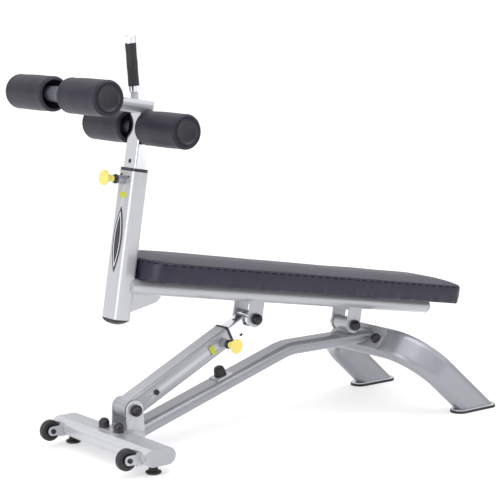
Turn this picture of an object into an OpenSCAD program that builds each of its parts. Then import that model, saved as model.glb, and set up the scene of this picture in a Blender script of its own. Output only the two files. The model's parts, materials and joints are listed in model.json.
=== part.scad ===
// Adjustable decline sit-up bench: frame, tilting seat on a telescopic strut, post with two roller pairs.
// Millimetres, +Z up, +X from the wheels to the rear feet, Y across, Z = 0 at the floor.

/* [Front crossbar] */
// Width of the flat-oval crossbar along the bench
cross_w = 100; // [80:1:120]
// Height of the flat-oval crossbar
cross_h = 50; // [40:1:60]
// Length of the crossbar across the bench, end plates included
cross_len = 490; // [400:5:600]
// Height of the crossbar axis above the floor
cross_z = 54; // [45:1:70]
// Distance of the leveller stems from the middle plane
lev_y = 208; // [150:1:260]
// Diameter of the leveller foot
lev_d = 46; // [36:1:60]

/* [Wheels] */
// Diameter of the transport wheels
wheel_d = 63; // [50:1:80]
// Width of the transport wheels
wheel_w = 24; // [18:1:32]
// Distance of the wheel axle in front of the crossbar axis
wheel_x = 85; // [75:1:100]
// Height of the wheel axle
wheel_z = 52; // [45:1:60]
// Distance of the wheels from the middle plane
wheel_y = 200; // [150:1:240]

/* [Main beam] */
// Width of the flat-oval beam
beam_w = 80; // [60:1:100]
// Height of the flat-oval beam
beam_h = 40; // [30:1:50]
// Slope of the front part
beam_slope = 17; // [10:0.5:25]
// Radius of the bend between the sloped part and the level part
beam_r = 200; // [120:5:300]
// Height of the level part's axis
beam_z = 238; // [200:1:280]
// X where the axes of the sloped part and the level part meet
beam_knee_x = 640; // [560:1:720]
// Wall thickness of the frame tubes
wall = 3; // [2:0.5:5]

/* [Rear leg] */
// Tilt of the leg plane below horizontal
leg_tilt = 41; // [35:1:55]
// X of the middle of the leg's top run
leg_x = 988; // [950:1:1050]
// Height of the middle of the leg's top run
leg_z = 220; // [190:1:250]
// Size of the leg's flat-oval tube across its bending plane
leg_w = 100; // [80:1:120]
// Size of the leg's flat-oval tube in its bending plane
leg_h = 50; // [40:1:60]
// Half length of the straight top run
leg_top = 95; // [30:1:90]
// Bend radius of the leg axis
leg_r = 135; // [100:5:220]
// Angle of each bend
leg_turn = 88; // [70:1:90]
// X of the middle of the rear foot pads
foot_x = 1225; // [1150:1:1280]
// Distance of the foot pads from the middle plane
foot_y = 239; // [200:1:280]
// Length of the rear foot pads
foot_len = 180; // [140:2:220]
// Width of the rear foot pads
foot_w = 60; // [50:1:80]

/* [Seat] */
// Tilt of the seat, post end up
tilt = 9.3; // [0:0.1:16]
// X of the seat hinge
hinge_x = 887.4; // [850:1:920]
// Height of the seat hinge
hinge_z = 284.3; // [270:1:300]
// Width of the flat-oval seat beam
seat_w = 100; // [80:1:120]
// Height of the flat-oval seat beam
seat_h = 46; // [40:1:60]
// Height of the seat beam's underside over the hinge axis
seat_b = 52; // [48:1:60]
// Distance from the hinge to the seat beam's rear end
seat_rear = 312; // [280:1:350]
// Half width of the pad
pad_half = 140; // [110:1:170]
// Distance from the hinge to the pad's rear end
pad_rear = 379; // [330:1:400]
// Height of the pad's side
pad_side = 56; // [40:1:70]
// Height of the pad at the crown
pad_h = 75; // [60:1:90]
// Plan corner radius of the pad
pad_r = 45; // [15:1:60]

/* [Post] */
// Distance of the post axis from the hinge
post_a = 877; // [840:1:900]
// Size of the post along the bench
post_l = 55; // [45:1:65]
// Size of the post across the bench
post_w = 80; // [60:1:100]
// Height of the post's top over the hinge axis
post_top = 398; // [360:1:430]
// Height of the pull-pin over the hinge axis
pin_b = 371; // [350:1:390]
// Distance between the adjusting holes
hole_pitch = 55; // [40:1:60]

/* [Head] */
// Size of the chrome head post along the bench
head_l = 38; // [30:1:45]
// Size of the chrome head post across the bench
head_w = 60; // [50:1:70]
// Height of the arm axis over the hinge axis
arm_b = 581; // [550:1:620]
// Distance of the upper axle from the hinge
upper_a = 1141.7; // [1100:1:1180]
// Height of the lower axle over the hinge axis
lower_b = 524; // [500:1:550]
// Diameter of the foam rollers
roller_d = 98; // [80:1:120]
// Length of each foam roller
roller_len = 191; // [150:1:220]
// Distance of each roller's inner end from the middle plane
roller_in = 40; // [35:1:60]
// Lean of the handle from the post direction
handle_lean = 14; // [0:1:25]

/* [Strut] */
// X of the strut's lower pivot
piv_x = 54.3; // [45:1:70]
// Height of the strut's lower pivot
piv_z = 137.3; // [125:1:150]
// Distance of the strut's upper pin from the hinge
up_a = 400; // [370:1:430]
// Height of the strut's upper pin over the hinge axis
up_b = 2; // [-5:1:10]
// Size of the strut's outer tube across the bench
strut_w = 60; // [50:1:70]
// Height of the strut's outer tube
strut_h = 58; // [50:1:66]
// Length of the strut's outer tube from its pivot
strut_len = 386; // [340:1:400]
// Size of the square chrome slider
slide_s = 44; // [36:1:50]

/* [Hidden] */
$fn = 64;
// distance kept between a sliding tube and its guide
gap = 0.3;
// length by which straight tube runs enter a bend, and the bend's extra section size
lap = 1;
swell = 0.1;
// radial clearance of turning and sliding pins
fit = 0.05;
upper_axle_x = hinge_x - upper_a * cos(tilt) + (arm_b + 1) * sin(tilt);
x_mid = (upper_axle_x - roller_d / 2 + foot_x + foot_len / 2) / 2;
up_x = hinge_x - up_a * cos(tilt) + up_b * sin(tilt);
up_z = hinge_z + up_a * sin(tilt) + up_b * cos(tilt);
strut_angle = atan2(up_z - piv_z, up_x - piv_x);
eye_a = norm([up_x - piv_x, up_z - piv_z]);
ear_in = 34;
ear_t = 6;
post_face = post_a + post_l / 2;
post_b0 = -23;
foot_h = 8;
plate_h = 3;
pad_b = seat_b + seat_h + 0.3;
pad_front = post_a - post_l / 2 - 1;
beam_front = post_a - post_l / 2 + 15;
crown_r = (pow(pad_half, 2) + pow(pad_h - pad_side, 2)) / (2 * (pad_h - pad_side));
beam_face = leg_h / 2 + 5;
joint_n = -7;
joint_y = 67;
pivot_r = 8;
arm_len = upper_a - 855;
axle_r = 10;
// length of the leg's straight part down to below the floor, cut off at the foot plate
leg_drop = (leg_z / sin(leg_tilt) - leg_r * (1 - cos(leg_turn))) / sin(leg_turn) + leg_w;

silver = [0.66, 0.67, 0.69];
bright = [0.85, 0.86, 0.88];
black = [0.06, 0.06, 0.07];
foam = [0.2, 0.19, 0.22];
yellow = [0.95, 0.85, 0.4];

// ---- frames ----
module bench() { translate([-x_mid, 0, 0]) children(); }
module seat_frame() { bench() translate([hinge_x, 0, hinge_z]) rotate([0, tilt, 0]) children(); }
module strut_frame() { bench() translate([piv_x, 0, piv_z]) rotate([0, -strut_angle, 0]) children(); }
module leg_frame() { bench() translate([leg_x, 0, leg_z]) rotate([0, leg_tilt, 0]) children(); }
module handle_frame() {
    seat_frame() translate([-905, 0, 601]) rotate([0, -handle_lean, 0]) children();
}
module both() { children(); mirror([0, 1, 0]) children(); }

// ---- shared shapes ----
// stadium: long side l along X, width w along Y
module stadium(l, w) {
    square([l - w, w], center = true);
    translate([(l - w) / 2, 0]) circle(d = w);
    translate([(w - l) / 2, 0]) circle(d = w);
}
module round_rect(l, w, r) {
    square([l - 2 * r, w], center = true);
    square([l, w - 2 * r], center = true);
    for (i = [-1, 1])
        for (j = [-1, 1])
            translate([i * (l / 2 - r), j * (w / 2 - r)]) circle(r = r);
}
// flat-oval or rectangular bar along +X, section given in (Y, Z)
module along_x(len) {
    rotate([90, 0, 90]) linear_extrude(height = len) children();
}
// bar along Y, centred, section given in (X, Z)
module along_y(len) {
    rotate([90, 0, 0]) linear_extrude(height = len, center = true) children();
}
module rod_y(r, len) { rotate([90, 0, 0]) cylinder(r = r, h = len, center = true); }
module dome_cap(r, h) {
    rotate_extrude() {
        difference() {
            union() {
                square([r, h - r * 0.8]);
                intersection() {
                    translate([0, h - r]) circle(r = r);
                    translate([0, 0]) square([r, h + 1]);
                }
            }
            translate([-2 * r, -r]) square([2 * r, 3 * (r + h)]);
        }
    }
}

// ---- front crossbar ----
module crossbar_outline(grow) { stadium(cross_w + 2 * grow, cross_h + 2 * grow); }
module crossbar_solid(grow) {
    translate([0, 0, cross_z]) along_y(cross_len - 8) crossbar_outline(grow);
}
module front_crossbar() {
    color(silver) bench() difference() {
        crossbar_solid(0);
        translate([0, 0, cross_z]) along_y(cross_len) stadium(cross_w - 2 * wall, cross_h - 2 * wall);
        both() translate([0, lev_y, cross_z - cross_h / 2 - 1]) cylinder(r = 5 + fit, h = wall + 2);
        both() translate([-1, 38, cross_z + cross_h / 2 - wall - 1]) cylinder(r = 5, h = wall + 2);
    }
}
module crossbar_end_plates() {
    color(silver) bench() both()
        translate([0, cross_len / 2 - 2, cross_z]) along_y(4) stadium(cross_w, cross_h);
}
module saddle_plate() {
    color(silver) bench() difference() {
        union() {
            translate([-16, -49, cross_z + cross_h / 2]) cube([60, 98, 3]);
            both() translate([0, 42.5, 0]) along_y(5)
                polygon([[30, 55], [30, 82], [44, 82], [84, 68], [84, 44], [60, 40]]);
        }
        crossbar_solid(0);
        beam_run(beam_w, beam_h, -10);
        both() translate([-1, 38, cross_z]) cylinder(r = 5, h = cross_h);
        translate([piv_x - 28, -ear_in - ear_t, cross_z]) cube([60, 2 * (ear_in + ear_t), 60]);
    }
}

// ---- levellers and wheels ----
module leveller() {
    rotate_extrude() polygon([[0, 0], [lev_d / 2 - 4, 0], [lev_d / 2, 4], [lev_d / 2 - 1, 7],
        [lev_d / 2 - 8, 10], [13, 15], [11, 21], [5, 21], [5, 48], [0, 48]]);
}
module leveller_near() { color(black) bench() translate([0, -lev_y, 0]) leveller(); }
module leveller_far() { color(black) bench() translate([0, lev_y, 0]) leveller(); }
module wheel() {
    rotate([90, 0, 0]) rotate_extrude() difference() {
        union() {
            translate([4 + fit, -wheel_w / 2]) square([wheel_d / 2 - 8 - fit, wheel_w]);
            translate([wheel_d / 2 - 8, 0]) stadium_v(wheel_w, 16);
            translate([4 + fit, -wheel_w / 2 - 1.5]) square([6, wheel_w + 3]);
        }
        translate([13, wheel_w / 2 - 4]) square([7, 5]);
        translate([13, -wheel_w / 2 - 1]) square([7, 5]);
    }
}
module stadium_v(l, w) {
    square([w, l - w], center = true);
    translate([0, (l - w) / 2]) circle(d = w);
    translate([0, (w - l) / 2]) circle(d = w);
}
module wheel_near() { color(black) bench() translate([-wheel_x, -wheel_y, wheel_z]) wheel(); }
module wheel_far() { color(black) bench() translate([-wheel_x, wheel_y, wheel_z]) wheel(); }
module wheel_forks() {
    color(silver) bench() both() translate([0, wheel_y, 0]) difference() {
        union() {
            for (s = [-1, 1])
                translate([0, s * (wheel_w / 2 + 4), 0]) along_y(4) {
                    translate([-wheel_x, wheel_z]) circle(r = 14);
                    translate([-wheel_x, wheel_z - 14]) square([30, 28]);
                    translate([-62, wheel_z - 19]) square([40, 38]);
                }
            translate([-51, -wheel_w / 2 - 3, wheel_z - 19]) cube([20, wheel_w + 6, 38]);
        }
        crossbar_solid(0);
        translate([-wheel_x, 0, wheel_z]) rod_y(4, 60);
    }
}

// ---- main beam ----
// axis: slope up from the crossbar, bend, level run; section w across, h high
module beam_run(w, h, start) {
    rise = beam_slope;
    tan_len = beam_r * tan(rise / 2);
    slope_len = (beam_knee_x - start) / cos(rise) - tan_len;
    translate([beam_knee_x, 0, beam_z]) {
        rotate([0, -rise, 0]) translate([-slope_len - tan_len, 0, 0])
            along_x(slope_len + lap) stadium(w, h);
        translate([tan_len - lap, 0, 0]) along_x(leg_x - beam_knee_x) stadium(w, h);
    }
    translate([beam_knee_x + tan_len, 0, beam_z - beam_r])
        rotate([90, 0, 0]) rotate([0, 0, 90]) rotate_extrude(angle = rise)
            translate([beam_r, 0]) stadium_v(w + swell, h + swell);
}
module beam_end_cut() {
    leg_frame() translate([-beam_face, -200, -400]) cube([800, 400, 800]);
}
module main_beam() {
    color(silver) difference() {
        bench() difference() {
            beam_run(beam_w, beam_h, 20);
            beam_run(beam_w - 2 * wall, beam_h - 2 * wall, -20);
            crossbar_solid(0);
            translate([-100, -100, 0]) cube([100, 200, 200]);
        }
        beam_end_cut();
    }
}
function axis_z(x) = beam_z + (x - beam_knee_x) * tan(beam_slope);
module lower_clevis() {
    color(silver) bench() difference() {
        union() {
            both() translate([0, ear_in + ear_t / 2, 0]) along_y(ear_t) {
                translate([piv_x, piv_z]) circle(r = 28);
                polygon([[piv_x - 28, piv_z], [piv_x - 28, axis_z(piv_x - 28) + 4],
                    [piv_x + 33, axis_z(piv_x + 33) + 4], [piv_x + 28, piv_z]]);
            }
            translate([piv_x - 28, -ear_in - 1, 60]) cube([56, 2 * ear_in + 2, 32]);
        }
        beam_run(beam_w, beam_h, -10);
        crossbar_solid(0);
        translate([piv_x, 0, piv_z]) rod_y(pivot_r, 100);
        translate([piv_x, 0, piv_z]) rod_y(42, 2 * ear_in);
    }
}
module bumper_frame() {
    bench() translate([392, 0, axis_z(392) + 18.3]) rotate([0, -beam_slope, 0]) children();
}
module bumper_plate() {
    color(silver) difference() {
        bumper_frame() {
            translate([-27, -24, 2]) cube([54, 48, 4]);
            translate([-27, -24, -8]) cube([4, 48, 11]);
            translate([23, -24, -8]) cube([4, 48, 11]);
        }
        bench() beam_run(beam_w, beam_h, 20);
    }
}
module bumper() {
    color(black) bumper_frame() translate([0, 0, 6]) rotate_extrude()
        polygon([[0, 0], [18.5, 0], [18.5, 5], [17, 17], [14.5, 25], [10, 28.5], [0, 29.5]]);
}
module hinge_tube() {
    color(silver) bench() difference() {
        union() {
            translate([hinge_x, 0, hinge_z]) rod_y(22.5, 2 * ear_in - 1);
            translate([hinge_x - 16, -30, beam_z + beam_h / 2]) cube([32, 60, 16]);
        }
        beam_run(beam_w, beam_h, 20);
        translate([hinge_x, 0, hinge_z]) rod_y(pivot_r + fit, 100);
    }
}

// ---- rear leg ----
module leg_sweep(w, h) {
    along_y(2 * leg_top + 2 * lap) stadium_v(w, h);
    both() {
        translate([leg_r, leg_top, 0]) rotate([0, 0, 180 - leg_turn])
            rotate_extrude(angle = leg_turn) translate([leg_r, 0])
                stadium_v(w + swell, h + swell);
        translate([leg_r - leg_r * cos(leg_turn), leg_top + leg_r * sin(leg_turn), 0])
            rotate([0, 0, 90 - leg_turn]) rotate([0, 90, 0]) translate([0, 0, -lap])
                linear_extrude(height = leg_drop) stadium(w, h);
    }
}
module below_foot_plate() {
    bench() translate([leg_x - 400, -500, -400 + foot_h + plate_h]) cube([1200, 1000, 400]);
}
module rear_leg() {
    color(silver) difference() {
        leg_frame() difference() {
            leg_sweep(leg_w, leg_h);
            leg_sweep(leg_w - 2 * wall, leg_h - 2 * wall);
            both() translate([-leg_h / 2 - 1, joint_y, joint_n]) rotate([0, 90, 0])
                cylinder(r = 5, h = wall + 2);
        }
        below_foot_plate();
    }
}
module rear_joint_plate() {
    color(silver) leg_frame() difference() {
        translate([-leg_h / 2 - 5, -joint_y - 18, -42]) cube([5, 2 * joint_y + 36, 80]);
        both() translate([-leg_h / 2 - 6, joint_y, joint_n]) rotate([0, 90, 0]) cylinder(r = 5, h = 7);
    }
}
module foot_outline(grow) { stadium(foot_len + 2 * grow, foot_w + 2 * grow); }
module rear_foot_plates() {
    color(bright) bench() both() translate([foot_x, foot_y, foot_h])
        linear_extrude(height = plate_h) foot_outline(-2);
}
module rear_foot_pads() {
    color(black) bench() both() translate([foot_x, foot_y, 0])
        linear_extrude(height = foot_h) foot_outline(0);
}

// ---- base fasteners ----
module pivot_bolt() {
    rod_y(pivot_r, 2 * (ear_in + ear_t));
    both() translate([0, ear_in + ear_t + 3, 0]) rod_y(12, 6);
}
module pivot_caps() {
    both() translate([0, ear_in + ear_t, 0]) rotate([-90, 0, 0]) difference() {
        dome_cap(17, 24);
        translate([0, 0, -1]) cylinder(r = 12, h = 7);
    }
}
module base_bolts() {
    color(bright) {
        bench() {
            translate([piv_x, 0, piv_z]) pivot_bolt();
            both() translate([-1, 38, cross_z + cross_h / 2 - 12]) cylinder(r = 5, h = 15);
            both() translate([-1, 38, cross_z + cross_h / 2 + 3]) cylinder(r = 9, h = 6);
            both() translate([-wheel_x, wheel_y, wheel_z]) rod_y(4, wheel_w + 12);
            both() translate([-wheel_x, wheel_y - wheel_w / 2 - 8.5, wheel_z]) rod_y(7, 5);
            both() translate([-wheel_x, wheel_y + wheel_w / 2 + 8.5, wheel_z]) rod_y(7, 5);
        }
        leg_frame() both() translate([-leg_h / 2 - 11, joint_y, joint_n]) rotate([0, 90, 0]) {
            cylinder(r = 9, h = 6);
            cylinder(r = 5, h = 22);
        }
    }
}
module base_bolt_caps() {
    color(black) {
        bench() {
            translate([piv_x, 0, piv_z]) pivot_caps();
            both() translate([-1, 38, cross_z + cross_h / 2 + 3]) difference() {
                dome_cap(15.5, 28);
                translate([0, 0, -1]) cylinder(r = 9, h = 7);
            }
        }
        leg_frame() both() translate([-leg_h / 2 - 5, joint_y, joint_n]) rotate([0, -90, 0]) difference() {
            dome_cap(15.5, 22);
            translate([0, 0, -1]) cylinder(r = 9, h = 7);
        }
    }
}

// ---- seat ----
module seat_beam() {
    color(silver) seat_frame() difference() {
        translate([-beam_front, 0, seat_b + seat_h / 2])
            along_x(seat_rear + beam_front) stadium(seat_w, seat_h);
        translate([-beam_front + 4, 0, seat_b + seat_h / 2])
            along_x(seat_rear + beam_front) stadium(seat_w - 2 * wall, seat_h - 2 * wall);
        translate([-post_a, 0, 0]) linear_extrude(height = 200) post_section(fit);
    }
}
module seat_beam_plug() {
    color(black) seat_frame() translate([seat_rear, 0, seat_b + seat_h / 2]) {
        along_x(2) stadium(seat_w, seat_h);
        translate([2, 0, 0]) along_x(3) stadium(seat_w - 4, seat_h - 4);
        translate([-14, 0, 0]) along_x(14) stadium(seat_w - 2 * wall, seat_h - 2 * wall);
    }
}
module post_section(grow) { round_rect(post_l + 2 * grow, post_w + 2 * grow, 15 + grow); }
module head_section(grow) { round_rect(head_l + 2 * grow, head_w + 2 * grow, 5.5 + grow); }
module pin_hole(r, len) {
    translate([-post_face - 20, 0, pin_b]) rotate([0, 90, 0]) cylinder(r = r, h = len);
}
module post_tube() {
    color(silver) seat_frame() difference() {
        translate([-post_a, 0, post_b0]) linear_extrude(height = post_top - post_b0) post_section(0);
        translate([-post_a, 0, post_b0 - 1]) linear_extrude(height = post_top - post_b0 + 2)
            post_section(-wall);
        pin_hole(9, 30);
    }
}
module post_gusset() {
    color(silver) seat_frame() difference() {
        along_y(8) polygon([[-post_a + post_l / 2, seat_b + 4], [-732, seat_b + 4], [-732, 48],
            [-744, 31], [-830, -2], [-post_a + post_l / 2, -2]]);
        translate([-post_a + post_l / 2, 0, seat_b + seat_h / 2]) along_x(600) stadium(seat_w, seat_h);
    }
}
module post_plug() {
    color(black) seat_frame() translate([-post_a, 0, post_b0]) {
        intersection() {
            translate([0, 0, -18]) linear_extrude(height = 18) post_section(-0.5);
            translate([0, 0, 45]) sphere(r = 62);
        }
        linear_extrude(height = 14) post_section(-wall);
    }
}
module post_collar() {
    color(black) seat_frame() difference() {
        union() {
            translate([-post_a, 0, post_top]) linear_extrude(height = 9) post_section(-1);
            translate([-post_a, 0, post_top - 80]) linear_extrude(height = 80) post_section(-wall);
        }
        translate([-post_a, 0, post_top - 81]) linear_extrude(height = 100) head_section(gap);
        pin_hole(6 + fit, 30);
    }
}
module post_screws() {
    color(bright) seat_frame() {
        for (p = [[19, 386], [-16, 381]])
            translate([-post_face - 2, p[0], p[1]]) rotate([0, 90, 0]) cylinder(r = 3, h = 2);
    }
}
module post_badge() {
    color(black) seat_frame() translate([-post_face - 1.5, 0, 202]) along_x(1.5) intersection() {
        translate([206, 0]) circle(r = 226, $fn = 256);
        translate([-206, 0]) circle(r = 226, $fn = 256);
    }
}
module pad() {
    pad_len = pad_rear + pad_front;
    color(foam) seat_frame() translate([(pad_rear - pad_front) / 2, 0, pad_b]) difference() {
        intersection() {
            linear_extrude(height = pad_h) round_rect(pad_len, 2 * pad_half, pad_r);
            translate([-pad_len, 0, pad_h - crown_r]) rotate([0, 90, 0])
                cylinder(r = crown_r, h = 2 * pad_len, $fn = 200);
        }
        translate([0, 0, -1]) linear_extrude(height = 13) round_rect(pad_len - 24, 2 * pad_half - 24, 20);
    }
}
module pad_board() {
    pad_len = pad_rear + pad_front;
    color([0.5, 0.4, 0.28]) seat_frame() translate([(pad_rear - pad_front) / 2, 0, pad_b])
        linear_extrude(height = 12) round_rect(pad_len - 24, 2 * pad_half - 24, 20);
}
// clevis under the seat beam: two ears from the beam to a round end about the pin
module seat_clevis(a, b, half, r) {
    difference() {
        union() {
            both() translate([0, ear_in + ear_t / 2, 0]) along_y(ear_t) {
                translate([a, b]) circle(r = r);
                translate([a - half, b]) square([2 * half, seat_b + 20 - b]);
            }
            translate([a - half, -ear_in - 1, seat_b - 6]) cube([2 * half, 2 * ear_in + 2, 8]);
        }
        translate([-post_a, 0, seat_b + seat_h / 2]) along_x(1300) stadium(seat_w, seat_h);
        translate([a, 0, b]) rod_y(pivot_r, 100);
    }
}
module strut_clevis() { color(silver) seat_frame() seat_clevis(-up_a, up_b, 26, 26); }
module hinge_clevis() { color(silver) seat_frame() seat_clevis(0, 0, 26, 26); }
module seat_bolts() {
    color(bright) seat_frame() {
        pivot_bolt();
        translate([-up_a, 0, up_b]) {
            rod_y(5, 2 * ear_in);
            both() translate([0, ear_in + ear_t / 2, 0]) rod_y(pivot_r, ear_t);
            both() translate([0, ear_in + ear_t + 3, 0]) rod_y(12, 6);
        }
    }
}
module seat_bolt_caps() {
    color(black) seat_frame() {
        pivot_caps();
        translate([-up_a, 0, up_b]) pivot_caps();
    }
}

// ---- pull-pins ----
// local +X points out of the tube; x = 0 at the tube's face
module pin_housing(len, base_r) {
    difference() {
        rotate([0, 90, 0]) union() {
            cylinder(r = 12, h = len);
            cylinder(r = base_r, h = 5);
        }
        translate([-1, 0, 0]) rotate([0, 90, 0]) cylinder(r = 6 + fit, h = len + 2);
    }
}
module pin_rod(tip, len) {
    translate([-tip, 0, 0]) rotate([0, 90, 0]) cylinder(r = 6, h = tip + len);
}
module knob() {
    translate([33, 0, 0]) rotate([0, 90, 0]) rotate_extrude() difference() {
        polygon([[0, 9], [10, 9], [10, 22], [14, 31], [21, 35], [22, 37], [22, 40], [19, 43], [0, 43.5]]);
        translate([-1, -1]) square([7, 20]);
    }
}
module post_pin_place() {
    seat_frame() translate([-post_face, 0, pin_b]) rotate([0, 0, 180]) children();
}
module post_pin_housing() { color(silver) post_pin_place() pin_housing(29, 12.8); }
module post_pin() {
    color(bright) post_pin_place() pin_rod(post_l / 2 - head_l / 2 - 0.5, 52);
}
module post_knob() { color(yellow) post_pin_place() knob(); }

// ---- head ----
module head_post() {
    color(bright) seat_frame() difference() {
        translate([-post_a, 0, 180]) linear_extrude(height = arm_b - 20 - 180) head_section(0);
        translate([-post_a, 0, 179]) linear_extrude(height = arm_b - 20 - 178) head_section(-2.5);
        for (k = [-2:1])
            translate([-post_a - head_l / 2 - 1, 0, pin_b + k * hole_pitch])
                rotate([0, 90, 0]) cylinder(r = 6.5, h = 6);
        translate([-post_a, 0, lower_b]) rod_y(axle_r, 100);
    }
}
// outline of the arm from above, with a rounded closed end
module arm_plan(inset) {
    translate([-upper_a, 0, arm_b - 100]) linear_extrude(height = 200) {
        translate([-2, inset - beam_w / 2 - 1]) square([arm_len - 18, beam_w + 2 - 2 * inset]);
        translate([-2, 20 - beam_w / 2]) square([arm_len + 2 - inset, beam_w - 40]);
        for (s = [-1, 1])
            translate([arm_len - 20, s * (beam_w / 2 - 20)]) circle(r = 20 - inset);
    }
}
module head_arm() {
    color(silver) seat_frame() difference() {
        intersection() {
            translate([-upper_a, 0, arm_b]) along_x(arm_len) stadium(beam_w, beam_h);
            arm_plan(0);
        }
        intersection() {
            translate([-upper_a - 1, 0, arm_b]) along_x(arm_len + 1)
                stadium(beam_w - 2 * wall, beam_h - 2 * wall);
            arm_plan(wall);
        }
        translate([-upper_a, 0, arm_b + 1]) rod_y(22, 200);
    }
}
module axle_sleeve() {
    color(silver) seat_frame() {
        translate([-upper_a, 0, arm_b + 1]) difference() {
            rod_y(22, 130);
            rod_y(axle_r, 200);
        }
        both() translate([-post_a, head_w / 2 + 16, lower_b]) difference() {
            rod_y(17, 32);
            rod_y(axle_r, 200);
        }
    }
}
module roller_axles() {
    color(bright) seat_frame() {
        translate([-upper_a, 0, arm_b + 1]) rod_y(axle_r, 2 * (roller_in + roller_len) - 16);
        translate([-post_a, 0, lower_b]) rod_y(axle_r, 2 * (roller_in + roller_len) - 16);
    }
}
module handle_stem() {
    color(bright) handle_frame() difference() {
        translate([0, 0, -20]) cylinder(r = 11, h = 180);
        rotate([0, handle_lean, 0]) translate([-60, -60, -60]) cube([120, 120, 60]);
    }
}
module handle_grip() {
    color(black) handle_frame() translate([0, 0, 37]) difference() {
        cylinder(r = 16, h = 120);
        translate([0, 0, -1]) cylinder(r = 11, h = 122);
    }
}
module handle_rings() {
    color(bright) handle_frame() {
        translate([0, 0, 21]) difference() {
            cylinder(r = 16.4, h = 16);
            translate([0, 0, -1]) cylinder(r = 11, h = 18);
        }
        translate([0, 0, 157]) difference() {
            rotate_extrude() polygon([[0, 0], [16.4, 0], [16.4, 18.5], [15.2, 20], [0, 20.5]]);
            translate([0, 0, -1]) cylinder(r = 11, h = 4);
        }
    }
}

// ---- rollers: local +Y runs outwards, y = 0 at the middle plane ----
module turned_y() { rotate([-90, 0, 0]) rotate_extrude() children(); }
module roller_foam() {
    r = roller_d / 2;
    edge = 9;
    turned_y() difference() {
        union() {
            translate([20.2, roller_in + edge]) square([r - 20.2, roller_len - 2 * edge]);
            translate([20.2, roller_in]) square([r - edge - 20.2, roller_len]);
            translate([r - edge, roller_in + edge]) circle(r = edge);
            translate([r - edge, roller_in + roller_len - edge]) circle(r = edge);
        }
        translate([-1, roller_in - 1]) square([39, 28]);
        translate([-1, roller_in + roller_len - 10]) square([38, 20]);
    }
}
module roller_hub() {
    turned_y() {
        translate([axle_r + fit, roller_in + 28]) square([10 - fit, roller_len - 36]);
        translate([0, roller_in + roller_len - 8]) square([36.5, 4]);
        translate([32.5, roller_in + roller_len - 5]) square([4, 6]);
    }
}
module roller_place(up, s) {
    seat_frame() translate([up ? -upper_a : -post_a, 0, up ? arm_b + 1 : lower_b])
        mirror([0, s, 0]) children();
}
module roller_upper_near() { color(foam) roller_place(true, 1) roller_foam(); }
module roller_upper_near_hub() { color(black) roller_place(true, 1) roller_hub(); }
module roller_upper_far() { color(foam) roller_place(true, 0) roller_foam(); }
module roller_upper_far_hub() { color(black) roller_place(true, 0) roller_hub(); }
module roller_lower_near() { color(foam) roller_place(false, 1) roller_foam(); }
module roller_lower_near_hub() { color(black) roller_place(false, 1) roller_hub(); }
module roller_lower_far() { color(foam) roller_place(false, 0) roller_foam(); }
module roller_lower_far_hub() { color(black) roller_place(false, 0) roller_hub(); }

// ---- strut ----
module strut_tube() {
    color(silver) strut_frame() difference() {
        union() {
            along_x(strut_len) round_rect(strut_w, strut_h, 8);
            rod_y(strut_h / 2, strut_w);
            rod_y(18, 2 * ear_in - 1);
        }
        translate([strut_h / 2 + 4, 0, 0]) along_x(strut_len)
            round_rect(strut_w - 2 * wall, strut_h - 2 * wall, 5);
        rod_y(pivot_r + fit, 100);
        translate([355, -strut_w / 2 + 5, 0]) rotate([90, 0, 0]) cylinder(r = 9, h = 20);
        translate([90, 0, 0]) rod_y(5, 100);
    }
}
module strut_collar() {
    color(black) strut_frame() difference() {
        union() {
            translate([strut_len, 0, 0]) along_x(9) round_rect(strut_w + 1, strut_h + 1, 8.5);
            translate([strut_len - 80, 0, 0]) along_x(80)
                round_rect(strut_w - 2 * wall, strut_h - 2 * wall, 5);
        }
        along_x(600) round_rect(slide_s + 2 * gap, slide_s + 2 * gap, 4 + gap);
        translate([355, 0, 0]) rotate([90, 0, 0]) cylinder(r = 6 + fit, h = 60);
    }
}
module strut_stop_bolt() {
    color(black) strut_frame() translate([90, 0, 0]) {
        rod_y(5, strut_w);
        both() translate([0, strut_w / 2 + 2.5, 0]) rod_y(8, 5);
    }
}
module strut_pin_place() {
    strut_frame() translate([355, -strut_w / 2, 0]) rotate([0, 0, -90]) children();
}
module strut_pin_housing() { color(silver) strut_pin_place() pin_housing(29, 16); }
module strut_pin() { color(bright) strut_pin_place() pin_rod(strut_w / 2 - slide_s / 2 - 0.5, 52); }
module strut_knob() { color(yellow) strut_pin_place() knob(); }
module slider_tube() {
    color(bright) strut_frame() difference() {
        union() {
            translate([150, 0, 0]) along_x(eye_a - 150 - 16) round_rect(slide_s, slide_s, 4);
            translate([eye_a, 0, 0]) rod_y(22, 2 * ear_in - 2);
        }
        translate([149, 0, 0]) along_x(eye_a - 150 - 24) round_rect(slide_s - 5, slide_s - 5, 2);
        translate([eye_a, 0, 0]) rod_y(12.5, 100);
        translate([440, 0, slide_s / 2 - 4]) cylinder(r = 5, h = 8);
        for (k = [-2:1])
            translate([355 + 25 * k, -slide_s / 2 + 4, 0]) rotate([90, 0, 0]) cylinder(r = 6.5, h = 8);
    }
}
module slider_stop() {
    color(black) strut_frame() {
        translate([436, -13, -slide_s / 2 - 8]) cylinder(r = 5, h = 8);
        translate([457, -slide_s / 2 - 2, 0]) rod_y(3, 4);
    }
}

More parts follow.
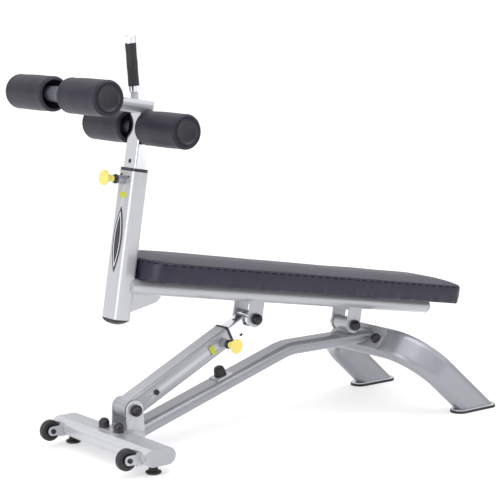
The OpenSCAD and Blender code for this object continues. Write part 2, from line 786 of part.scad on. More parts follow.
front_crossbar();
crossbar_end_plates();
saddle_plate();
main_beam();
wheel_forks();
lower_clevis();
base_bolts();
base_bolt_caps();
bumper_plate();
bumper();
rear_leg();
rear_joint_plate();
rear_foot_plates();
rear_foot_pads();
hinge_tube();
leveller_near();
leveller_far();
wheel_near();
wheel_far();
seat_beam();
seat_beam_plug();
post_tube();
post_gusset();
post_plug();
post_collar();
post_screws();
post_badge();
pad();
pad_board();
strut_clevis();
hinge_clevis();
seat_bolts();
seat_bolt_caps();
post_pin_housing();
post_pin();
post_knob();
head_post();
head_arm();
axle_sleeve();
roller_axles();
handle_stem();
handle_grip();
handle_rings();
roller_upper_near();
roller_upper_near_hub();
roller_upper_far();
roller_upper_far_hub();
roller_lower_near();
roller_lower_near_hub();
roller_lower_far();
roller_lower_far_hub();
strut_tube();
strut_collar();
strut_stop_bolt();
strut_pin_housing();
slider_tube();
slider_stop();
strut_pin();
strut_knob();
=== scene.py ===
"""Looks of the adjustable decline sit-up bench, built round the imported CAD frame. Metres, +Z up."""
import json
import math
import bpy
import numpy as np
from mathutils import Matrix, Vector, noise
from mathutils.bvhtree import BVHTree


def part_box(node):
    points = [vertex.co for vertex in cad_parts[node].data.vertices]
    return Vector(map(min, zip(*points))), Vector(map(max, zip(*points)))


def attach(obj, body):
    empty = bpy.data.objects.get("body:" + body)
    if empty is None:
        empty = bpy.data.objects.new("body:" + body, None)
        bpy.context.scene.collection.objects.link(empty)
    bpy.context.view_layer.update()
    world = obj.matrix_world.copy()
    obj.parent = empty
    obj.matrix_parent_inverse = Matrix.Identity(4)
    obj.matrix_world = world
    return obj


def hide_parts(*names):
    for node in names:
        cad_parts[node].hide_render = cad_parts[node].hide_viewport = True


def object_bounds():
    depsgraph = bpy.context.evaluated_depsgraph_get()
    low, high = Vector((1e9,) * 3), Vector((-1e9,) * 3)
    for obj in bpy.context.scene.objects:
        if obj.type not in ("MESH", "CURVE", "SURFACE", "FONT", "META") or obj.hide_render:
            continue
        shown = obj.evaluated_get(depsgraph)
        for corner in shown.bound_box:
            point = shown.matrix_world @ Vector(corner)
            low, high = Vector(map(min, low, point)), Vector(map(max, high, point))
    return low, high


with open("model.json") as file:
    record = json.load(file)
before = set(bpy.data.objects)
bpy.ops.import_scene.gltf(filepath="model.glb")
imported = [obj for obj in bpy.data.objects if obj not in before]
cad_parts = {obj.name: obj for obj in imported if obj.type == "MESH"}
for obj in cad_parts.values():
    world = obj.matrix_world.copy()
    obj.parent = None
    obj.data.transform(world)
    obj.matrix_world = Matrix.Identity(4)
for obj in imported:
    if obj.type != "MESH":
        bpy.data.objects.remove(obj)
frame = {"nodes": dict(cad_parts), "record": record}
cad_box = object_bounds()
record = frame["record"]
joints = {j["name"]: j for j in record["behaviour"]["joints"]}
nodes = frame["nodes"]


# ---- places, all taken from the frame ----
def basis(origin, along, up):
    """Matrix of a frame whose X is along, Z is up, and origin is origin."""
    along, up = Vector(along).normalized(), Vector(up).normalized()
    across = up.cross(along)
    m = Matrix((along, across, up)).transposed().to_4x4()
    m.translation = Vector(origin)
    return m


def coords(obj):
    flat = np.empty(len(obj.data.vertices) * 3)
    obj.data.vertices.foreach_get("co", flat)
    return flat.reshape(-1, 3)


def local_box(node, matrix):
    """Lowest and highest corner of a CAD node in the frame of matrix."""
    inv = np.array(matrix.inverted())
    pts = coords(nodes[node]) @ inv[:3, :3].T + inv[:3, 3]
    return pts.min(axis=0), pts.max(axis=0)


post_up = Vector(joints["head_height"]["axis"])
SEAT = basis(joints["seat_tilt"]["pos_m"], (post_up.z, 0, -post_up.x), post_up)
strut_dir = Vector(joints["strut_extend"]["axis"])
STRUT = basis(joints["strut_swing"]["pos_m"], strut_dir, (-strut_dir.z, 0, strut_dir.x))


# ---- materials ----
def node_of(tree, kind, **inputs):
    n = tree.nodes.new(kind)
    for key, value in inputs.items():
        n.inputs[key.replace("_", " ")].default_value = value
    return n


def material(name, colour, rough, metallic=0.0, spread=0.05, spread_scale=6.0, rough_spread=0.05,
             bumps=(), coat=0.0, coat_rough=0.1, specular=0.5, wear=None, subsurface=0.0):
    """Principled material with object-space colour and roughness variation, bumps and edge wear.

    bumps is a list of (kind, scale, depth in metres), kind noise, cells or lines.
    """
    mat = bpy.data.materials.new(name)
    mat.use_nodes = True
    tree = mat.node_tree
    link = tree.links.new
    shader = tree.nodes["Principled BSDF"]
    shader.inputs["Metallic"].default_value = metallic
    shader.inputs["Coat Weight"].default_value = coat
    shader.inputs["Coat Roughness"].default_value = coat_rough
    shader.inputs["Specular IOR Level"].default_value = specular
    if subsurface:
        shader.inputs["Subsurface Weight"].default_value = subsurface
        shader.inputs["Subsurface Radius"].default_value = (0.004, 0.003, 0.001)
    where = tree.nodes.new("ShaderNodeTexCoord").outputs["Object"]
    tone = node_of(tree, "ShaderNodeTexNoise", Scale=spread_scale, Detail=5.0)
    link(where, tone.inputs["Vector"])
    ramp = tree.nodes.new("ShaderNodeValToRGB")
    low = [max(0.0, c * (1 - spread)) for c in colour]
    high = [min(1.0, c * (1 + spread)) for c in colour]
    ramp.color_ramp.elements[0].position = 0.3
    ramp.color_ramp.elements[1].position = 0.7
    ramp.color_ramp.elements[0].color = (*low, 1)
    ramp.color_ramp.elements[1].color = (*high, 1)
    link(tone.outputs["Fac"], ramp.inputs["Fac"])
    colour_out = ramp.outputs["Color"]
    if wear:
        worn, sharp = wear
        geometry = tree.nodes.new("ShaderNodeNewGeometry")
        edge = tree.nodes.new("ShaderNodeMapRange")
        edge.inputs["From Min"].default_value = sharp
        edge.inputs["From Max"].default_value = sharp + 0.12
        link(geometry.outputs["Pointiness"], edge.inputs["Value"])
        mix = tree.nodes.new("ShaderNodeMix")
        mix.data_type = "RGBA"
        link(edge.outputs["Result"], mix.inputs["Factor"])
        link(colour_out, mix.inputs["A"])
        mix.inputs["B"].default_value = (*worn, 1)
        colour_out = mix.outputs["Result"]
    link(colour_out, shader.inputs["Base Color"])
    grain = node_of(tree, "ShaderNodeTexNoise", Scale=spread_scale * 9, Detail=3.0)
    link(where, grain.inputs["Vector"])
    rough_map = tree.nodes.new("ShaderNodeMapRange")
    rough_map.inputs["To Min"].default_value = max(0.02, rough - rough_spread)
    rough_map.inputs["To Max"].default_value = rough + rough_spread
    link(grain.outputs["Fac"], rough_map.inputs["Value"])
    link(rough_map.outputs["Result"], shader.inputs["Roughness"])
    normal = None
    for kind, scale, depth in bumps:
        if kind == "cells":
            tex = node_of(tree, "ShaderNodeTexVoronoi", Scale=scale)
            out = tex.outputs["Distance"]
        elif kind == "lines":
            tex = node_of(tree, "ShaderNodeTexWave", Scale=scale, Distortion=1.5)
            out = tex.outputs["Fac"]
        else:
            tex = node_of(tree, "ShaderNodeTexNoise", Scale=scale, Detail=4.0)
            out = tex.outputs["Fac"]
        link(where, tex.inputs["Vector"])
        bump = tree.nodes.new("ShaderNodeBump")
        bump.inputs["Distance"].default_value = depth
        bump.inputs["Strength"].default_value = 1.0
        link(out, bump.inputs["Height"])
        if normal:
            link(normal, bump.inputs["Normal"])
        normal = bump.outputs["Normal"]
    if normal:
        link(normal, shader.inputs["Normal"])
    return mat


SILVER = (0.285, 0.291, 0.318)
LOOKS = {
    "frame_paint": material("silver powder coat", SILVER, 0.30, metallic=0.40, spread=0.03, spread_scale=3,
                            bumps=[("noise", 900, 0.00008)], coat=0.35, coat_rough=0.12,
                            wear=((0.62, 0.63, 0.65), 0.56)),
    "bolt_steel": material("zinc plate", (0.62, 0.63, 0.65), 0.28, metallic=1.0, spread=0.06,
                           bumps=[("noise", 700, 0.00006)]),
    "chrome": material("chrome", (0.76, 0.77, 0.80), 0.07, metallic=1.0, spread=0.02, rough_spread=0.03,
                       bumps=[("noise", 60, 0.00002)]),
    "black_plastic": material("black plastic", (0.0085, 0.0075, 0.0125), 0.34, spread=0.15, spread_scale=30,
                              bumps=[("noise", 1400, 0.00006)], wear=((0.07, 0.07, 0.075), 0.58)),
    "black_steel": material("black oxide", (0.02, 0.02, 0.022), 0.42, metallic=0.5, spread=0.2,
                            bumps=[("noise", 900, 0.00006)]),
    "rubber": material("rubber", (0.010, 0.0095, 0.012), 0.5, spread=0.15, spread_scale=40,
                       bumps=[("noise", 1100, 0.0001)]),
    "tyre": material("tyre rubber", (0.008, 0.0075, 0.010), 0.38, spread=0.2, spread_scale=40,
                     bumps=[("noise", 900, 0.0001)]),
    "pad_vinyl": material("pad vinyl", (0.013, 0.011, 0.027), 0.37, specular=0.42, spread=0.07,
                          spread_scale=9, bumps=[("cells", 620, 0.00022), ("noise", 70, 0.0004)]),
    "board": material("black-painted plywood", (0.012, 0.011, 0.013), 0.6, spread=0.3, spread_scale=25,
                      bumps=[("lines", 60, 0.0002)]),
    "foam": material("roller foam", (0.0075, 0.006, 0.016), 0.46, specular=0.38, spread=0.08, spread_scale=14,
                     bumps=[("noise", 1300, 0.00014), ("noise", 45, 0.0003)]),
    "knob_yellow": material("yellow plastic", (0.76, 0.62, 0.16), 0.42, spread=0.03, spread_scale=20,
                            bumps=[("noise", 500, 0.00005)], subsurface=0.15),
}
STICKER = material("yellow label", (0.46, 0.46, 0.008), 0.4, spread=0.04, spread_scale=60, coat=0.3)
THREAD = material("thread", (0.003, 0.0027, 0.004), 0.9, spread=0.2, bumps=[("lines", 900, 0.0001)],
                  specular=0.05)
# dark grey for the axle sleeve, darker than the frame's silver paint it has: painted shade inside the roller
# recesses
SHADED_SLEEVE = material("sleeve painted shade", (0.13, 0.135, 0.16), 0.34, metallic=0.3, spread=0.05,
                  bumps=[("noise", 900, 0.00006)])
BADGE_LIGHT = material("badge inlay", (0.75, 0.76, 0.78), 0.3, metallic=0.6, spread=0.04)

slot_of = {s["node"]: s["material_slot"] for s in record["subparts"]}
for name, obj in nodes.items():
    look = LOOKS[slot_of[name]]
    if obj.data.materials:
        for i in range(len(obj.data.materials)):
            obj.data.materials[i] = look
    else:
        obj.data.materials.append(look)


# the wheel bolts are black oxide, though they share a node with zinc ones; the two face screws, zinc in their
# slot, are coloured black oxide as painted shade for their dark hex recesses; the sleeve round the axles,
# silver paint in its slot, is coloured dark grey as painted shade inside the roller recesses
bolts = nodes["base_bolts"]
bolts.data.materials.append(LOOKS["black_steel"])
WHEEL_BOLT_REACH = 0.03  # faces this close behind the wheel axle belong to its bolts
wheel_line = Vector(joints["wheel_near_spin"]["pos_m"]).x + WHEEL_BOLT_REACH
for poly in bolts.data.polygons:
    if poly.center.x < wheel_line:
        poly.material_index = len(bolts.data.materials) - 1
# the face screws are coloured black oxide as painted shade, for the dark of their hex recesses
nodes["post_screws"].data.materials[0] = LOOKS["black_steel"]
nodes["axle_sleeve"].data.materials[0] = SHADED_SLEEVE


# ---- mesh helpers ----
def piece(name, verts, faces, look, body, matrix=None, smooth=True, subdivide=0):
    mesh = bpy.data.meshes.new(name)
    mesh.from_pydata([tuple(v) for v in verts], [], faces)
    if matrix is not None:
        mesh.transform(matrix)
    mesh.update()
    for poly in mesh.polygons:
        poly.use_smooth = smooth
    obj = bpy.data.objects.new(name, mesh)
    bpy.context.scene.collection.objects.link(obj)
    obj.data.materials.append(look)
    if subdivide:
        mod = obj.modifiers.new("smooth", "SUBSURF")
        mod.levels = mod.render_levels = subdivide
    if body:
        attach(obj, body)
    return obj


def lathe(profile, segments=96, wobble=0.0, wobble_scale=40.0, closed=True):
    """Vertices and faces of a profile [(r, z), ...] turned about Z.

    closed joins the profile's last point to its first.
    """
    verts, faces = [], []
    count = len(profile)
    for i in range(segments):
        angle = 2 * math.pi * i / segments
        for r, z in profile:
            p = Vector((r * math.cos(angle), r * math.sin(angle), z))
            if wobble and r > 0:
                shift = wobble * noise.noise(p * wobble_scale)
                p.x += shift * math.cos(angle)
                p.y += shift * math.sin(angle)
            verts.append(p)
    for i in range(segments):
        j = (i + 1) % segments
        for k in range(count if closed else count - 1):
            n = (k + 1) % count
            faces.append((i * count + k, j * count + k, j * count + n, i * count + n))
    return verts, faces


def arc(cx, cz, r, start, end, steps=6):
    """Points of a profile arc, angles in degrees from the +r direction."""
    out = []
    for i in range(steps + 1):
        t = math.radians(start + (end - start) * i / steps)
        out.append((cx + r * math.cos(t), cz + r * math.sin(t)))
    return out


# ---- pad: sewn vinyl over foam ----
PAD_SIDE = 0.056  # height of the side panel, up to the seam
SEAM_RISE = 0.0006  # height of the seam's ring over the side panel
REAR_CORNER, FRONT_CORNER = 0.042, 0.050  # more than 0.055 at the front bares the board's corners
CORNER_N, LONG_N, SHORT_N = 10, 120, 20  # outline steps in a corner, a long side and a short side
PAD_SHRINK = 0.0015  # room for the cloth to swell inside the CAD pad's box
SWELL_CAP = 0.0035


def outline(half_l, half_w, corners):
    """Points and outward normals of a rounded rectangle, anticlockwise; corners is (rear, front)."""
    pts, nrm = [], []
    rear, front = [max(c, 0.0008) for c in corners]
    centres = [(half_l - rear, half_w - rear, 0), (front - half_l, half_w - front, 90),
               (front - half_l, front - half_w, 180), (half_l - rear, rear - half_w, 270)]
    for k, (cx, cy, start) in enumerate(centres):
        r = front if k in (1, 2) else rear
        for i in range(CORNER_N + 1):
            t = math.radians(start + 90 * i / CORNER_N)
            n = Vector((math.cos(t), math.sin(t)))
            pts.append(Vector((cx, cy)) + r * n)
            nrm.append(n)
        nx, ny, nstart = centres[(k + 1) % 4]
        a = pts[-1]
        t = math.radians(nstart)
        n = Vector((math.cos(t), math.sin(t)))
        b = Vector((nx, ny)) + (front if k in (0, 1) else rear) * n
        steps = LONG_N if k % 2 == 0 else SHORT_N
        for i in range(1, steps):
            pts.append(a.lerp(b, i / steps))
            nrm.append(n)
    return pts, nrm


def pad_rings(side, crown, half_w):
    """(inset, height, group weight) of the pad's rings, from the underside round to the crown."""
    rings = [(half_w - 0.003, 0.0, 1), (0.10, 0, 1), (0.06, 0, 1), (0.03, 0, 1), (0.014, 0, 1),
             (0.006, 0.0002, 1), (0.0022, 0.0018, 1), (0.0008, 0.0045, 1)]
    steps = 10
    for i in range(1, steps):
        t = i / steps
        rings.append((0.0008 - 0.0006 * math.sin(math.pi * t), 0.0045 + (side - 0.0075) * t, 0.0))
    rings += [(0.0012, side - 0.0022, 0.7), (0.0032, side - 0.0004, 1), (0.0036, side + SEAM_RISE, 1),
              (0.0034, side + 0.0022, 0.8)]
    reach = 0.095
    for inset in (0.0055, 0.0085, 0.0125, 0.0175, 0.024, 0.032, 0.042, 0.054, 0.068, 0.084, 0.10, 0.118,
                  half_w - 0.003):
        t = min(1.0, inset / reach)
        rings.append((inset, side + 0.002 + (crown - side - 0.002) * (1 - (1 - t) ** 2.3), 0.0))
    return rings


low, high = local_box("pad", SEAT)
half_l, half_w = (high[0] - low[0]) / 2, (high[1] - low[1]) / 2
rings = pad_rings(PAD_SIDE, high[2] - low[2] - 0.002, half_w - PAD_SHRINK)
centre = Vector(((low[0] + high[0]) / 2, 0, low[2]))
verts, faces, weights, seam_line = [], [], [], []
for inset, height, weight in rings:
    pts, nrm = outline(half_l - PAD_SHRINK - inset, half_w - PAD_SHRINK - inset,
                       (REAR_CORNER - inset, FRONT_CORNER - inset))
    count = len(pts)
    for p, n in zip(pts, nrm):
        verts.append(Vector((p.x, p.y, height)))
        weights.append(weight)
    if abs(height - (PAD_SIDE + SEAM_RISE)) < 1e-6:
        seam_line = [(Vector((p.x, p.y, height)), n) for p, n in zip(pts, nrm)]
for r in range(len(rings) - 1):
    for i in range(count):
        j = (i + 1) % count
        faces.append((r * count + i, r * count + j, (r + 1) * count + j, (r + 1) * count + i))
first = count - SHORT_N // 2  # the point amid the rear side, about which the outline mirrors
for ring, flip in ((0, True), (len(rings) - 1, False)):
    for j in range(count // 2):
        quad = dict.fromkeys(ring * count + k % count for k in
                             (first + j, first + j + 1, first - j - 1, first - j))
        faces.append(tuple(reversed(quad)) if flip else tuple(quad))
pad = piece("pad_cover", verts, faces, LOOKS["pad_vinyl"], None)


def inflate(obj, weights, cap, frames=20, pressure=4.0):
    """Swells obj with a cloth simulation; weights pin its points, and no point moves further than cap."""
    before = coords(obj).copy()
    group = obj.vertex_groups.new(name="pin")
    for i, w in enumerate(weights):
        if w:
            group.add([i], w, "REPLACE")
    cloth = obj.modifiers.new("cloth", "CLOTH")
    settings = cloth.settings
    settings.quality = 6
    settings.mass = 0.4
    settings.tension_stiffness = 25
    settings.compression_stiffness = 25
    settings.bending_stiffness = 2.0
    settings.vertex_group_mass = "pin"
    settings.use_pressure = True
    settings.uniform_pressure_force = pressure
    settings.effector_weights.gravity = 0.0
    scene = bpy.context.scene
    scene.frame_start, scene.frame_end = 1, frames
    cloth.point_cache.frame_start, cloth.point_cache.frame_end = 1, frames
    for f in range(1, frames + 1):
        scene.frame_set(f)
    done = obj.evaluated_get(bpy.context.evaluated_depsgraph_get())
    flat = np.empty(len(done.data.vertices) * 3)
    done.data.vertices.foreach_get("co", flat)
    move = flat.reshape(-1, 3) - before
    length = np.linalg.norm(move, axis=1, keepdims=True)
    move *= np.minimum(1.0, cap / np.maximum(length, 1e-9))
    obj.modifiers.remove(cloth)
    obj.data.vertices.foreach_set("co", (before + move).ravel())
    obj.data.update()
    scene.frame_set(1)


inflate(pad, weights, SWELL_CAP)
# folds where the cover is pulled under the edge and stapled, and slack waves in the panels
FOLD_DEPTH, WAVE_DEPTH, CROWN_WAVE = 0.0052, 0.0006, 0.0012
lower = PAD_SIDE * 0.62
for v in pad.data.vertices:
    z = v.co.z
    if z < 1e-4:
        continue
    out = Vector((v.co.x * half_w / half_l, v.co.y, 0)).normalized()
    run = v.co.x if abs(abs(v.co.y) - half_w) < 0.03 else v.co.y
    fold = noise.noise(Vector((run * 26, v.co.y * 4, 1.7))) + noise.noise(Vector((run * 62, 3.1, v.co.y * 5)))
    near_hem = max(0.0, 1 - z / lower) ** 1.3
    soft = noise.noise(Vector((v.co.x * 7, v.co.y * 7, z * 9)))
    v.co += out * (FOLD_DEPTH * fold * near_hem + WAVE_DEPTH * soft)
    if z > PAD_SIDE + 0.004:
        v.co.z += CROWN_WAVE * soft
cover = BVHTree.FromPolygons([v.co.copy() for v in pad.data.vertices],
                             [tuple(f.vertices) for f in pad.data.polygons])
pad_place = SEAT @ Matrix.Translation(centre)
pad.data.transform(pad_place)
pad.data.update()
smooth = pad.modifiers.new("smooth", "SUBSURF")
smooth.levels = smooth.render_levels = 1
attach(pad, "seat")
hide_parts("pad")


def stitches(name, line, pitch, length, radius, matrix, body):
    """A row of thread stitches along a closed line of points, laid on the pad's cover.

    Each stitch is a tube of four lengths with six sides, thin at its ends.
    """
    verts, faces = [], []
    total, marks = 0.0, [0.0]
    pts = line + [line[0]]
    for a, b in zip(pts, pts[1:]):
        total += (b - a).length
        marks.append(total)
    count = int(total / pitch)

    def at(s):
        s %= total
        i = int(np.searchsorted(marks, s, side="right")) - 1
        return pts[i].lerp(pts[i + 1], (s - marks[i]) / max(marks[i + 1] - marks[i], 1e-9))

    for k in range(count):
        base = len(verts)
        for step in range(5):
            t = step / 4
            s = k * total / count + (t - 0.5) * length
            spot, normal, _, _ = cover.find_nearest(at(s))
            tangent = (at(s + 0.001) - at(s - 0.001)).normalized()
            size = radius * (0.45 + 0.55 * math.sin(math.pi * t))
            middle_of = spot + normal * radius * (0.7 * math.sin(math.pi * t))
            up = normal.cross(tangent)
            for q in range(6):
                a = math.pi * q / 3
                verts.append(middle_of + normal * size * math.cos(a) + up * size * math.sin(a))
        for step in range(4):
            for q in range(6):
                a, b = base + step * 6 + q, base + step * 6 + (q + 1) % 6
                faces.append((a, b, b + 6, a + 6))
        faces.append(tuple(base + q for q in reversed(range(6))))
        faces.append(tuple(base + 24 + q for q in range(6)))
    return piece(name, verts, faces, THREAD, body, matrix)


STITCH_DROP = 0.004  # how far the row lies under the seam and outside it, before it is laid on the cover
stitch_line = [p + Vector((0, 0, -STITCH_DROP)) + n.to_3d() * STITCH_DROP for p, n in seam_line]
row = stitches("pad_stitches", stitch_line, pitch=0.030, length=0.019, radius=0.0013,
               matrix=pad_place, body="seat")


# ---- foam rollers with dished end caps ----
FOAM_CLEAR = 0.0008  # keeps the foam's wobble off the arm
FOAM_ROUND = 0.009
AXLE_BORE = 0.0101
CAP_BACK = 0.0077  # depth of the cap's back wall under the roller's end, just past the axle's end


def roller(where, side):
    """One roller: foam sleeve, hub with its dished cap, and the moulding mark on the cap."""
    name = "roller_%s_%s" % (where, side)
    axis = Vector(joints[name + "_spin"]["pos_m"])
    sign = -1 if side == "near" else 1
    place = basis((axis.x, 0, axis.z), (1, 0, 0), (0, sign, 0))
    lo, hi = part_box(name)
    radius = (hi[2] - lo[2]) / 2
    inner, outer = sorted((abs(lo[1]), abs(hi[1])))
    inner += FOAM_CLEAR
    r, e = radius, FOAM_ROUND
    body = [(0.0202, inner + 0.027), (0.0385, inner + 0.027), (0.0385, inner + 0.004)]
    body += arc(0.0405, inner + 0.002, 0.002, 180, 270, 3)
    body += arc(r - e, inner + e, e, -90, 0, 7)
    steps = 22
    for i in range(1, steps):
        t = i / steps
        body.append((r - 0.0004 * math.cos(2 * math.pi * t), inner + e + (outer - inner - 2 * e) * t))
    body += arc(r - e, outer - e, e, 0, 90, 7)
    body += arc(0.0392, outer - 0.0015, 0.0015, 90, 180, 3)
    body += [(0.0372, outer - 0.006), (0.0372, outer - 0.010), (0.0202, outer - 0.010)]
    foam_mesh = piece(name + "_sleeve", *lathe(body, 112, wobble=0.0005, wobble_scale=22), LOOKS["foam"],
                      name, place)
    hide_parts(name)
    cap = [(AXLE_BORE, inner + 0.028), (0.020, inner + 0.028), (0.020, outer - 0.009),
           (0.0365, outer - 0.009), (0.0369, outer - 0.002)]
    cap += arc(0.0352, outer - 0.0003, 0.0016, 0, 180, 5)
    cap += [(0.0322, outer - 0.0026), (0.0300, outer - 0.0040), (0.024, outer - 0.0052),
            (0.016, outer - 0.0060), (0.008, outer - 0.0063), (0.0004, outer - 0.0064),
            (0.0004, outer - CAP_BACK), (AXLE_BORE, outer - CAP_BACK)]
    hub = piece(name + "_cap", *lathe(cap, 96), LOOKS["black_plastic"], name, place)
    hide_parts(name + "_hub")
    mark = [(0.0001, 0.0012), (0.0022, 0.0010), (0.0028, 0), (0.0001, -0.001)]
    pip = piece(name + "_cap_pip", *lathe(mark, 24), LOOKS["black_plastic"], name,
                place @ Matrix.Translation((0.012, -0.009, outer - 0.0062)))


for where in ("upper", "lower"):
    for side in ("near", "far"):
        roller(where, side)

# ---- handle grip ----
grip_pts = coords(nodes["handle_grip"])
grip_centre = grip_pts.mean(axis=0)
grip_dir = Vector(np.linalg.svd(grip_pts - grip_centre, full_matrices=False)[2][0])
if grip_dir.z < 0:
    grip_dir.negate()
GRIP = basis(grip_centre, grip_dir.cross(Vector((0, 1, 0))), grip_dir)
low, high = local_box("handle_grip", GRIP)
half, r = (high[2] - low[2]) / 2, (high[1] - low[1]) / 2
sleeve = [(0.0111, -half), (r - 0.003, -half)] + arc(r - 0.002, 0.002 - half, 0.002, -90, 0, 4)
for i in range(1, 40):
    t = i / 40
    sleeve.append((r - 0.0003 + 0.0003 * math.cos(4 * math.pi * t), -half + 0.002 + (2 * half - 0.004) * t))
sleeve += arc(r - 0.002, half - 0.002, 0.002, 0, 90, 4) + [(0.0111, half)]
grip = piece("grip_sleeve", *lathe(sleeve, 64, wobble=0.0002, wobble_scale=25), LOOKS["rubber"], "head", GRIP)
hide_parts("handle_grip")


# ---- rings at the pull-pins, labels and badge inlay ----
def outward(node, pull):
    """Matrix at the outer end of a pin housing, Z along the pull of its knob."""
    axis = Vector(joints[pull]["axis"])
    side = Vector((0, 1, 0)) if abs(axis.y) < 0.5 else Vector((1, 0, 0))
    along = side.cross(axis).normalized()
    pts = coords(nodes[node])
    m = basis(pts.mean(axis=0), along, axis)
    lo, hi = local_box(node, m)
    return m @ Matrix.Translation(((lo[0] + hi[0]) / 2, (lo[1] + hi[1]) / 2, hi[2]))


for node, pull, body in (("post_pin_housing", "post_pin_pull", "seat"),
                         ("strut_pin_housing", "strut_pin_pull", "strut")):
    collar = [(0.0062, 0.0002), (0.0125, 0.0002), (0.0136, 0.0012), (0.0136, 0.0055), (0.0122, 0.0068),
              (0.0118, 0.0095), (0.0108, 0.0102), (0.0062, 0.0102)]
    ring = piece(node + "_ring", *lathe(collar, 48), LOOKS["black_plastic"], body, outward(node, pull))


def plate(name, points, thick, look, body, matrix, edge=0.0003):
    """A thin plate with a bevelled rim: points is its outline in the XY of matrix, thickness along +Z."""
    mid = sum((Vector(p) for p in points), Vector((0, 0))) / len(points)
    verts, faces = [], []
    for inset, z in ((0.0, 0.0), (0.0, thick - edge), (edge, thick)):
        for p in points:
            q = Vector(p)
            d = mid - q
            q = q + d.normalized() * inset if d.length else q
            verts.append((q.x, q.y, z))
    n = len(points)
    for r in range(2):
        for i in range(n):
            j = (i + 1) % n
            faces.append((r * n + i, r * n + j, (r + 1) * n + j, (r + 1) * n + i))
    faces.append(tuple(2 * n + i for i in range(n)))
    faces.append(tuple(reversed(range(n))))
    obj = piece(name, verts, faces, look, body, matrix, smooth=False)
    return obj


# both labels sit slightly askew, as on the real bench; corners in metres on the face of their tube
LABEL_THICK = 0.0005
POST_LABEL = [(-0.0178, 0.3357), (0.0131, 0.3386), (0.0166, 0.3224), (-0.0145, 0.3201)]
STRUT_LABEL = [(0.3042, 0.0136), (0.3204, 0.0147), (0.3229, -0.0146), (0.3073, -0.0161)]
post_front = SEAT @ basis((local_box("post_tube", SEAT)[0][0], 0, 0), (0, -1, 0), (-1, 0, 0))
strut_side = STRUT @ basis((0, local_box("strut_tube", STRUT)[0][1], 0), (1, 0, 0), (0, -1, 0))
plate("post_sticker", POST_LABEL[::-1], LABEL_THICK, STICKER, "seat", post_front)
plate("strut_sticker", STRUT_LABEL[::-1], LABEL_THICK, STICKER, "strut", strut_side)

# inlay line on the post badge, whose plate is left plain
badge_lo, badge_hi = local_box("post_badge", SEAT)
badge_mid = (badge_lo[2] + badge_hi[2]) / 2
BADGE_R, BADGE_OFF = 0.226, 0.206  # radius of the two arcs, and how far their centres are set off


def pointed_oval(inset, steps=24):
    """Outline of two crossing arcs, points up and down, inset by inset."""
    r = BADGE_R - inset
    half_angle = math.acos(BADGE_OFF / r)
    right = [(r * math.cos(t) - BADGE_OFF, r * math.sin(t))
             for t in [half_angle * (2 * i / steps - 1) for i in range(steps)]]
    return right + [(-x, -y) for x, y in right]


badge_face = SEAT @ basis((badge_lo[0], 0, badge_mid), (0, -1, 0), (-1, 0, 0))
outer, inner = pointed_oval(0.0048), pointed_oval(0.0078)
ring_verts = [(x, y, 0.0) for x, y in outer + inner] + [(x, y, 0.0003) for x, y in outer + inner]
n = len(outer)
ring_faces = []
for i in range(n):
    j = (i + 1) % n
    ring_faces += [(2 * n + i, 2 * n + j, 3 * n + j, 3 * n + i), (i, j, 2 * n + j, 2 * n + i),
                   (n + j, n + i, 3 * n + i, 3 * n + j)]
line = piece("badge_line", ring_verts, ring_faces, BADGE_LIGHT, "seat", badge_face, smooth=False)

# ---- floor, light, world, camera ----
lo, hi = Vector(cad_box[0]), Vector(cad_box[1])
middle = (lo + hi) / 2


def floor_material():
    """Pale floor that gives off part of its own light, so the bench's shadow on it stays faint."""
    mat = material("pale floor", (0.60, 0.60, 0.60), 0.6, spread=0.01, spread_scale=2,
                   bumps=[("noise", 300, 0.00005)])
    shader = mat.node_tree.nodes["Principled BSDF"]
    shader.inputs["Emission Color"].default_value = (1.0, 1.0, 1.0, 1.0)
    shader.inputs["Emission Strength"].default_value = 0.42
    return mat


REACH = 400.0
mesh = bpy.data.meshes.new("floor")
corners = [(-REACH, -REACH, 0), (REACH, -REACH, 0), (REACH, REACH, 0), (-REACH, REACH, 0)]
mesh.from_pydata(corners, [], [(0, 1, 2, 3)])
floor = bpy.data.objects.new("floor", mesh)
bpy.context.scene.collection.objects.link(floor)
floor.data.materials.append(floor_material())

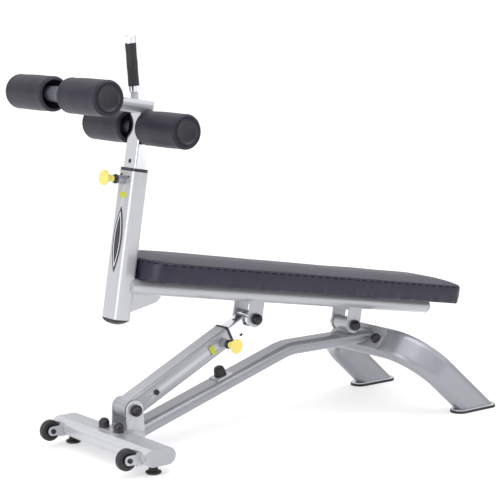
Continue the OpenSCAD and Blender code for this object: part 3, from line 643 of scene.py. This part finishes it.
world = bpy.data.worlds.new("studio")
bpy.context.scene.world = world
world.use_nodes = True
tree = world.node_tree
background = tree.nodes["Background"]
direction = tree.nodes.new("ShaderNodeTexCoord").outputs["Generated"]
split = tree.nodes.new("ShaderNodeSeparateXYZ")
tree.links.new(direction, split.inputs["Vector"])
sky = tree.nodes.new("ShaderNodeValToRGB")
# white studio with a greyer band over the horizon, (height of the direction, brightness)
stops = ((0.0, 1.0), (0.006, 1.0), (0.02, 0.42), (0.14, 0.52), (0.32, 0.95), (0.62, 1.0), (1.0, 1.3))
for k, (where, level) in enumerate(stops):
    stop = sky.color_ramp.elements[k] if k < 2 else sky.color_ramp.elements.new(where)
    stop.position = where
    stop.color = (level, level, level * 1.015, 1)
tree.links.new(split.outputs["Z"], sky.inputs["Fac"])
tree.links.new(sky.outputs["Color"], background.inputs["Color"])
background.inputs["Strength"].default_value = 1.05


def area_light(name, place, size, power):
    data = bpy.data.lights.new(name, "AREA")
    data.shape = "RECTANGLE"
    data.size, data.size_y = size
    data.energy = power
    obj = bpy.data.objects.new(name, data)
    bpy.context.scene.collection.objects.link(obj)
    obj.location = place
    obj.visible_camera = False
    obj.rotation_euler = (middle - Vector(place)).to_track_quat("-Z", "Y").to_euler()


area_light("key", (0.2, -1.0, 3.4), (3.0, 3.0), 54)
area_light("left", (-3.4, -0.6, 1.5), (2.2, 2.6), 42)
area_light("right", (2.6, -2.8, 1.4), (2.0, 2.0), 5)
area_light("card", (-2.4, 3.5, 1.0), (1.6, 2.2), 3.8)  # shows in the chrome post's front face

# the camera that took the photo, as solved with the object's size
LENS_MM = 118.4
HEADING, PITCH = math.radians(38.08), math.radians(8.58)
EYE_FROM_PIVOT = Vector((-2.5682, -3.8503, 1.1557))  # from the strut's lower pivot
camera_data = bpy.data.cameras.new("camera")
camera_data.lens = LENS_MM
camera = bpy.data.objects.new("camera", camera_data)
bpy.context.scene.collection.objects.link(camera)
view_dir = Vector((math.sin(HEADING) * math.cos(PITCH), math.cos(HEADING) * math.cos(PITCH),
                   -math.sin(PITCH)))
camera.location = Vector(joints["strut_swing"]["pos_m"]) + EYE_FROM_PIVOT
camera.rotation_euler = view_dir.to_track_quat("-Z", "Y").to_euler()
bpy.context.scene.camera = camera
bpy.context.scene.view_settings.view_transform = "Standard"
